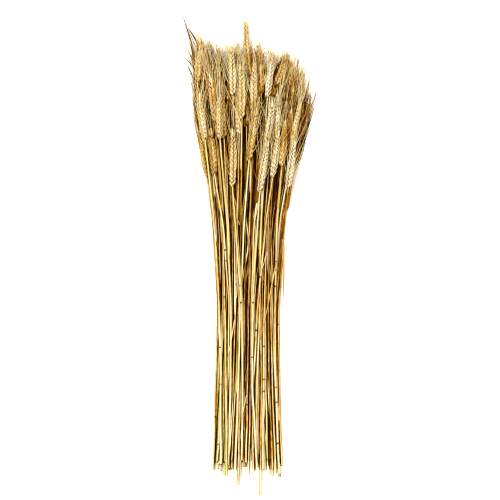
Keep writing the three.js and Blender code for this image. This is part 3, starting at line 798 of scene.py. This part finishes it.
def make_top_strips(piece, stalk):
    """Narrow strips of dry sheath that come loose along the top of the straw."""
    dice = stalk.dice
    for _ in range(TOP_STRIPS):
        low = dice.uniform(stalk.cut / MM + 5, stalk.neck / MM - 80) * MM
        high = min(low + dice.uniform(*TOP_STRIP_LENGTH) * MM, stalk.neck - 5 * MM)
        heights = np.linspace(low, high, 9)
        aside = dice.choice((-1, 1)) * dice.uniform(*TOP_STRIP_ASIDE) * MM
        if abs(stalk.at(low)[0]) > 28 * MM:
            aside = -math.copysign(aside, stalk.at(low)[0])
        drift = dice.uniform(-1, 2.5) * MM * (1 if aside > 0 else -1)
        rib = []
        for k, height in enumerate(heights):
            t = k / 8
            x, _, z = stalk.at(height)
            x = x + aside * min(1, 0.5 + t) + drift * t * t
            rib.append((x, height, z + (0.9 + 0.5 * math.sin(3 * t)) * MM))
        rib = np.array(rib)
        half = dice.uniform(*TOP_STRIP_HALF) * MM
        fold, twist, tint = dice.uniform(0.2, 0.9), dice.uniform(-1.0, 1.0), dice.uniform(0.5, 1.0)
        seed = stalk.seed + dice.random()
        # The strip's tone takes painted shade from the stalks around it.
        strip_shape.lay_along(piece, rib, half, fold, twist, tint, 0.0, seed, painted_shade_inside(stalk))


def stalk_of_leaf(leaf):
    """The stalk that a leaf grows on: the one named, or else the one furthest right at the leaf's root."""
    root = leaf.rib[0][0] * MM
    named = [stalk for stalk in stalks if stalk.name == leaf.stalk]
    here = [stalk for stalk in stalks if stalk.end > root]
    return named[0] if named else max(here, key=lambda stalk: stalk.at(root)[0])


def make_leaves(piece, stalk):
    """The leaves that stand out of the bunch."""
    for k, leaf in enumerate(LEAVES):
        if leaf_stalks[k] is not stalk:
            continue
        rib = []
        for height, aside, above in leaf.rib:
            point = stalk.at(height * MM)
            point += (aside * MM, 0, above * MM)
            point[2] = max(point[2], LEAF_OFF_TABLE)
            rib.append(point)
        blade_shape.lay_along(piece, np.array(rib), leaf.half_width * MM, leaf.fold, leaf.twist, leaf.tint,
                              leaf.grey, 3.1 * k)


def stalk_of_crossing(crossing):
    """The stalk that a crossing strip starts from: the one on top at its first place."""
    x, y = crossing.rib[0][0] * MM, crossing.rib[0][1] * MM
    here = [stalk for stalk in stalks if stalk.cut < y < stalk.neck]
    return max(here, key=lambda stalk: stalk.at(y)[2] - 2 * abs(stalk.at(y)[0] - x))


def make_crossings(piece, stalk):
    """The strips that lie across the straws."""
    for k, crossing in enumerate(CROSSINGS):
        if crossing_stalks[k] is not stalk:
            continue
        first, last = crossing.rib[0][1], crossing.rib[-1][1]
        upwards = crossing.rib[::-1]
        rib = []
        for share in np.linspace(0, 1, 16):
            y = first + (last - first) * share
            x = np.interp(y, [row[1] for row in upwards], [row[0] for row in upwards])
            rib.append((x * MM, y * MM, bunch_top(x * MM, y * MM) + 0.4 * MM))
        strip_shape.lay_along(piece, np.array(rib), crossing.half_width * MM, 0.4, 0.6, crossing.tint,
                              0.0, 1.3 * k)


def bunch_top(x, y):
    """The height of the uppermost straw beside a place."""
    here = [stalk.at(y) for stalk in stalks if stalk.cut < y < stalk.neck]
    return max([point[2] + 1.6 * MM for point in here if abs(point[0] - x) < 3.2 * MM] + [6 * MM])


def bunch_edges(height):
    """The leftmost and rightmost straws' places at a height along the bunch."""
    here = [stalk.at(height)[0] for stalk in stalks if stalk.cut < height < stalk.end - 20 * MM]
    return min(here), max(here)


def make_shade_leaves_under(piece, stalk):
    """Two dark leaves, one after the other, flat on the table under a low straw, as painted shade in the
    gaps.
    """
    dice = stalk.dice
    middle = stalk.cut + dice.uniform(0.4, 0.55) * (stalk.neck - stalk.cut)
    lower = (stalk.cut + 14 * MM, middle + SHADE_LEAF_PAST_MIDDLE)
    upper = (middle - SHADE_LEAF_PAST_MIDDLE, min(stalk.neck + 45 * MM, 250 * MM))
    for low, high in (lower, upper):
        rib = []
        aside = dice.uniform(-3, 3) * MM
        for height in np.linspace(low, high, 12):
            left, right = bunch_edges(height)
            x = stalk.at(height)[0] + aside
            x = min(max(x, left + SHADE_LEAF_INSIDE), right - SHADE_LEAF_INSIDE)
            rib.append((x, height, SHADE_LEAF_OFF_TABLE))
        half = dice.uniform(*SHADE_LEAF_HALF) * MM
        # Dark tints: painted shade for the gaps between the straws.
        tint = dice.uniform(0.0, 0.2) + (0.12 if low < 0 else 0.0)
        seed = stalk.seed + dice.random()
        blade_shape.lay_along(piece, np.array(rib), half, 0.03, 0.0, tint, 0.0, seed)


# Shader values

class Value:
    """A shader socket that takes part in sums."""

    def __init__(self, finish, socket):
        self.finish, self.socket = finish, socket

    def math(self, operation, *parts):
        return self.finish.node("ShaderNodeMath", {"operation": operation}, dict(enumerate(parts)))

    def __add__(self, other):
        return self.math("ADD", self, other)

    def __radd__(self, other):
        return self.math("ADD", other, self)

    def __sub__(self, other):
        return self.math("SUBTRACT", self, other)

    def __rsub__(self, other):
        return self.math("SUBTRACT", other, self)

    def __mul__(self, other):
        return self.math("MULTIPLY", self, other)

    def __rmul__(self, other):
        return self.math("MULTIPLY", other, self)

    def __abs__(self):
        return self.math("ABSOLUTE", self)


class Finish:
    """A material made of nodes."""

    def __init__(self, name):
        self.material = bpy.data.materials.new(name)
        self.material.use_nodes = True
        self.tree = self.material.node_tree
        self.shader = self.tree.nodes["Principled BSDF"]

    def node(self, kind, settings=None, sockets=None, out=0):
        node = self.tree.nodes.new(kind)
        for name, setting in (settings or {}).items():
            if name == "stops":
                self.set_stops(node.color_ramp.elements, setting)
            else:
                setattr(node, name, setting)
        for name, value in (sockets or {}).items():
            self.join(node.inputs[name], value)
        return Value(self, node.outputs[out])

    def set_stops(self, elements, stops):
        for spare in list(elements)[1:]:
            elements.remove(spare)
        elements[0].position, elements[0].color = stops[0]
        for position, colour in stops[1:]:
            elements.new(position).color = colour

    def join(self, socket, value):
        if isinstance(value, Value):
            self.tree.links.new(value.socket, socket)
        else:
            socket.default_value = value

    def attribute(self, name):
        """A piece's own attribute, whole and in its three parts."""
        vector = self.node("ShaderNodeAttribute", {"attribute_name": name}, out="Vector")
        parts = self.tree.nodes.new("ShaderNodeSeparateXYZ")
        self.tree.links.new(vector.socket, parts.inputs[0])
        return vector, [Value(self, output) for output in parts.outputs]

    def noise(self, vector, scale=1.0, detail=2.0, rough=0.5):
        sockets = {"Vector": vector, "Scale": scale, "Detail": detail, "Roughness": rough}
        return self.node("ShaderNodeTexNoise", {}, sockets)

    def grain(self, vector, stretch, detail=2.0, rough=0.5):
        """Noise that is drawn out along the fibre: three scales, across, across and along."""
        sockets = {0: vector, 1: stretch}
        stretched = self.node("ShaderNodeVectorMath", {"operation": "MULTIPLY"}, sockets, "Vector")
        return self.noise(stretched, 1.0, detail, rough)

    def between(self, value, low, high, to_low=0.0, to_high=1.0):
        sockets = {"Value": value, "From Min": low, "From Max": high, "To Min": to_low, "To Max": to_high}
        return self.node("ShaderNodeMapRange", {"clamp": True}, sockets)

    def mix(self, factor, first, second, blend="MIX"):
        sockets = {0: factor, 6: first, 7: second}
        return self.node("ShaderNodeMix", {"data_type": "RGBA", "blend_type": blend}, sockets, 2)

    def stained(self, factor, colour, stain):
        """The colour, with this much of it multiplied by a stain."""
        return self.mix(factor, colour, self.mix(1.0, colour, stain, "MULTIPLY"))

    def ramp(self, value, stops):
        return self.node("ShaderNodeValToRGB", {"stops": stops}, {"Fac": value}, "Color")

    def bump(self, height, strength, distance):
        sockets = {"Height": height, "Strength": strength, "Distance": distance}
        return self.node("ShaderNodeBump", {}, sockets, "Normal")

    def done(self, **sockets):
        for name, value in sockets.items():
            self.join(self.shader.inputs[name.replace("_", " ")], value)
        return self.material


def paint(red, green, blue, share=0.7):
    """A colour as a screen shows it in the studio's light, 0 to 255, made the share that straw reflects."""
    def linear(c):
        c /= 255
        return c / 12.92 if c <= 0.04045 else ((c + 0.055) / 1.055) ** 2.4
    return (linear(red) * share, linear(green) * share, linear(blue) * share, 1.0)


def full_paint(red, green, blue):
    """The colour itself, for stains and for the table."""
    return paint(red, green, blue, 1.0)


# Colours from dark to pale
STRAW_TINTS = [
    (0.0, paint(64, 28, 0)), (0.14, paint(120, 68, 0)), (0.3, paint(180, 126, 8)),
    (0.44, paint(215, 175, 68)), (0.58, paint(238, 211, 141)), (0.78, paint(251, 239, 198)),
    (1.0, paint(255, 250, 224)),
]
SHEATH_TINTS = [
    (0.0, paint(62, 30, 0)), (0.2, paint(150, 98, 20)), (0.5, paint(222, 186, 100)),
    (1.0, paint(252, 240, 206)),
]
GOLDEN_HUSKS = [
    (0.0, paint(86, 42, 2)), (0.2, paint(166, 112, 22)), (0.45, paint(226, 184, 88)),
    (0.7, paint(246, 222, 150)), (1.0, paint(255, 246, 214)),
]
PALE_HUSKS = [
    (0.0, paint(90, 50, 6)), (0.2, paint(174, 128, 44)), (0.45, paint(229, 198, 116)),
    (0.7, paint(248, 231, 174)), (1.0, paint(255, 250, 228)),
]
AWN_TINTS = [
    (0.0, paint(72, 30, 0)), (0.3, paint(184, 116, 8)), (0.6, paint(240, 188, 74)),
    (1.0, paint(255, 241, 190)),
]
LEAF_TINTS = [
    (0.0, paint(72, 32, 0)), (0.2, paint(122, 70, 4)), (0.45, paint(192, 140, 48)),
    (0.7, paint(232, 200, 134)), (1.0, paint(249, 236, 200)),
]

# Joints and spots, and stains that the colour beneath shows through. The husk root and edge stains are
# painted shade
JOINT_COLOUR = paint(60, 28, 9)
FLECK_COLOUR = paint(132, 82, 38)
SPECK_COLOUR = paint(84, 46, 12)
GREENISH = full_paint(222, 229, 158)
FIBROUS = full_paint(206, 170, 110)
RUSTY = full_paint(208, 146, 98)
HUSK_ROOT_SHADE = full_paint(142, 90, 36)
HUSK_VEINS = full_paint(176, 138, 84)
HUSK_EDGE_SHADE = full_paint(120, 76, 36)
GREYISH = full_paint(176, 182, 176)


def straw_finish():
    """Pale straw with green and rusty stretches, papery sheaths, flecks, and dark joints and cuts."""
    f = Finish("dried_straw_stem")
    _, (tint, dark, sheath) = f.attribute("tone")
    fibre, _ = f.attribute("fibre")
    slow = f.grain(fibre, (0.6, 0.6, 14), 3)
    fine = f.grain(fibre, (7, 7, 60), 3, 0.6)
    streak = f.grain(fibre, (2.2, 2.2, 40))
    patchy = f.grain(fibre, (1.4, 1.4, 110))
    ragged = f.grain(fibre, (1.8, 1.8, 30), 3)
    in_sheath = f.between(sheath + (ragged - 0.5) * 2.2, 0.0, 0.25, 0.0, 0.7)
    # The tint holds the painted shade laid in the straw's tone.
    shade = tint + (slow - 0.5) + (streak - 0.5) * 0.6 + (patchy - 0.5) * 0.8
    green = f.between(f.grain(fibre, (0.1, 0.1, 2.4)), 0.46, 0.58, 0.0, 0.8)
    rust = f.between(f.grain(fibre, (2.6, 2.6, 13)), 0.54, 0.68, 0.0, 0.6)
    flecks = f.between(f.grain(fibre, (3.0, 3.0, 150)), 0.66, 0.72, 0.0, 0.75)
    uneven = f.between(f.grain(fibre, (1.5, 1.5, 400), 1), 0.3, 0.6, 0.4, 1.0)
    colour = f.stained(green, f.ramp(shade, STRAW_TINTS), GREENISH)
    colour = f.mix(in_sheath, colour, f.ramp(shade + 0.08, SHEATH_TINTS))
    colour = f.stained(f.between(fine, 0.3, 0.7, 0.0, 0.35), colour, FIBROUS)
    colour = f.stained(rust, colour, RUSTY)
    colour = f.mix(flecks, colour, FLECK_COLOUR)
    colour = f.mix(f.between(dark * uneven, 0.15, 0.8), colour, JOINT_COLOUR)
    rough = f.between(fine, 0.2, 0.8, 0.4, 0.6) + in_sheath * 0.15
    # Waxy coat on the paler straws. It fades where painted shade darkens the tone, so the painted shade
    # also takes the reflection away.
    waxy_out_of_shade = f.between(shade, 0.45, 0.8, 0.0, 0.8)
    ridges = f.bump(fine * 0.6 + streak * 0.4, 0.35, 0.0004)
    return f.done(Base_Color=colour, Roughness=rough, Normal=ridges, Coat_Weight=waxy_out_of_shade,
                  Coat_Roughness=0.32, Specular_IOR_Level=0.03)


def husk_finish():
    """Golden to pale husks with fine veins and dark specks, painted shade at their roots and edges and a
    painted highlight at their tips.
    """
    f = Finish("dried_husk")
    _, (tint, along, ripe) = f.attribute("tone")
    fibre, (_, across, _) = f.attribute("fibre")
    mottled = f.grain(fibre, (1.2, 1.2, 3.0))
    veins = f.grain(fibre, (5, 5, 0.8))
    specks = f.between(f.grain(fibre, (1.6, 1.6, 9), 1), 0.595, 0.65, 0.0, 0.85)
    # Painted shade along the husk's edges, between the florets.
    edge_shade = f.between(abs(across), 0.55, 0.86) * f.between(along, 0.3, 0.55)
    shade = tint + (mottled - 0.5) * 0.3 - 0.03
    colour = f.mix(ripe, f.ramp(shade, PALE_HUSKS), f.ramp(shade, GOLDEN_HUSKS))
    # Painted shade at the husk's root, where the husk below covers it; next, a painted highlight on its
    # open tip.
    colour = f.stained(f.between(along, 0.05, 0.4, 0.9, 0.0), colour, HUSK_ROOT_SHADE)
    colour = f.mix(f.between(along, 0.5, 0.95, 0.0, 0.3), colour, f.ramp(shade + 0.3, PALE_HUSKS))
    colour = f.stained(f.between(veins, 0.42, 0.6, 0.0, 0.25), colour, HUSK_VEINS)
    # The painted shade along the edges.
    colour = f.stained(edge_shade * 0.45, colour, HUSK_EDGE_SHADE)
    colour = f.mix(specks, colour, SPECK_COLOUR)
    return f.done(Base_Color=colour, Roughness=f.between(veins, 0.3, 0.7, 0.5, 0.7),
                  Normal=f.bump(veins, 0.3, 0.0003), Specular_IOR_Level=0.04)


def awn_finish():
    """Awns that grow paler towards their tips."""
    f = Finish("dried_awn")
    _, (tint, along, _) = f.attribute("tone")
    fibre, _ = f.attribute("fibre")
    mottled = f.grain(fibre, (1, 1, 90))
    colour = f.ramp(tint + (mottled - 0.5) * 0.3 + along * 0.1, AWN_TINTS)
    return f.done(Base_Color=colour, Roughness=f.between(mottled, 0.2, 0.8, 0.5, 0.7),
                  Specular_IOR_Level=0.03)


def leaf_finish():
    """Blotched dry leaf with ridges along it, greyish where it is weathered."""
    f = Finish("dried_leaf")
    _, (tint, _, grey) = f.attribute("tone")
    fibre, _ = f.attribute("fibre")
    ridges = f.grain(fibre, (9, 9, 8), 1)
    blotch = f.grain(fibre, (0.8, 0.8, 45), 3)
    shade = tint + (blotch - 0.5) * 0.7 + (ridges - 0.5) * 0.25
    colour = f.stained(grey, f.ramp(shade, LEAF_TINTS), GREYISH)
    return f.done(Base_Color=colour, Roughness=f.between(ridges, 0.3, 0.7, 0.55, 0.75),
                  Normal=f.bump(ridges, 0.5, 0.0003), Specular_IOR_Level=0.04)


# The bunch
straw_tube = Tube("straw_tube", STRAW, STRAW_SIDES, STRAW_STATIONS)
awn_tube = Tube("awn_tube", AWN, AWN_SIDES_ROUND, AWN_STATIONS)
husk_shape = Husk("husk_shape", HUSK)
blade_shape = Blade("blade_shape", LEAF, 6, 40)
strip_shape = Blade("strip_shape", LEAF, 2, 26)
finishes = [straw_finish(), husk_finish(), awn_finish(), leaf_finish()]

stalks = [Stalk(index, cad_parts[name]) for index, name in enumerate(sorted(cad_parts))]
highest = max(stalk.line[:, 2].max() for stalk in stalks)
for stalk in stalks:
    stalk.choose_looks(highest)
plan_joints()
heads_top = top_of_heads()
lowest = sorted(stalks, key=lambda stalk: stalk.line[:, 2].mean())[:SHADE_LEAVES_UNDER]
leaf_stalks = [stalk_of_leaf(leaf) for leaf in LEAVES]
crossing_stalks = [stalk_of_crossing(crossing) for crossing in CROSSINGS]
strips_laid = []

for stalk in stalks:
    piece = bmesh.new()
    make_straw(piece, stalk)
    make_head(piece, stalk)
    make_leaves(piece, stalk)
    make_crossings(piece, stalk)
    if stalk in lowest:
        make_shade_leaves_under(piece, stalk)
    make_gap_strips(piece, stalk)
    make_top_strips(piece, stalk)
    name = "wheat_" + stalk.name
    mesh = bpy.data.meshes.new(name)
    piece.to_mesh(mesh)
    piece.free()
    for finish in finishes:
        mesh.materials.append(finish)
    wheat = bpy.data.objects.new(name, mesh)
    bpy.context.scene.collection.objects.link(wheat)
    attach(wheat, "root")
    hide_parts(stalk.name)
for shape in (straw_tube, awn_tube, husk_shape, blade_shape, strip_shape):
    bpy.data.meshes.remove(shape.mesh)


# The table, the light and the camera, in metres, with the camera's sensor in millimetres
TABLE_SIZE = 300
STUDIO_COLOUR = (1.0, 0.86, 0.66, 1.0)
STUDIO_STRENGTH = 0.14
DISPLAY_GAMMA = 0.9
PIXEL_FILTER = 1.2
VIEW_PLACE = (-0.0012, 0.008)
VIEW_HEIGHT = 2.43
VIEW_WIDTH = 0.7
VIEW_PLANE = 0.03
SENSOR = 36
FURTHEST_SEEN = 1000


def make_table():
    shape = bmesh.new()
    bmesh.ops.create_grid(shape, x_segments=1, y_segments=1, size=TABLE_SIZE)
    mesh = bpy.data.meshes.new("table")
    shape.to_mesh(mesh)
    shape.free()
    table = bpy.data.objects.new("table", mesh)
    bpy.context.scene.collection.objects.link(table)
    f = Finish("pale_table")
    grain = f.noise(f.node("ShaderNodeTexCoord", out="Object"), 3.0, 2)
    colour = f.mix(grain, full_paint(244, 243, 241), full_paint(250, 250, 249))
    mesh.materials.append(f.done(Base_Color=colour, Roughness=0.8))


def make_light(name, strength, colour, spread, tilt):
    """A wide soft source straight above, tilted this many degrees to the left and to the top."""
    data = bpy.data.lights.new(name, "SUN")
    data.energy = strength
    data.color = colour
    data.angle = math.radians(spread)
    light = bpy.data.objects.new(name, data)
    light.location = (0, 0, 2)
    light.rotation_euler = (-math.radians(tilt[1]), -math.radians(tilt[0]), 0)
    bpy.context.scene.collection.objects.link(light)


def make_surroundings():
    """Dim warm light from all round, and how the picture is shown."""
    world = bpy.data.worlds.new("studio")
    world.use_nodes = True
    background = world.node_tree.nodes["Background"].inputs
    background["Color"].default_value = STUDIO_COLOUR
    background["Strength"].default_value = STUDIO_STRENGTH
    scene = bpy.context.scene
    scene.world = world
    scene.view_settings.view_transform = "Standard"
    scene.view_settings.gamma = DISPLAY_GAMMA
    scene.cycles.filter_width = PIXEL_FILTER


def make_camera():
    """A camera that looks straight down on the bunch."""
    camera = bpy.data.objects.new("camera", bpy.data.cameras.new("camera"))
    camera.data.sensor_width = SENSOR
    camera.data.lens = SENSOR * (VIEW_HEIGHT - VIEW_PLANE) / VIEW_WIDTH
    camera.data.clip_end = FURTHEST_SEEN
    camera.location = (*VIEW_PLACE, VIEW_HEIGHT)
    camera.rotation_euler = (0, 0, 0)
    bpy.context.scene.collection.objects.link(camera)
    bpy.context.scene.camera = camera


make_table()
make_light("key", 4.0, (1.0, 1.0, 1.0), 22, (10, 8))
make_light("fill", 2.7, (1.0, 0.9, 0.74), 100, (-6, 0))
make_surroundings()
make_camera()
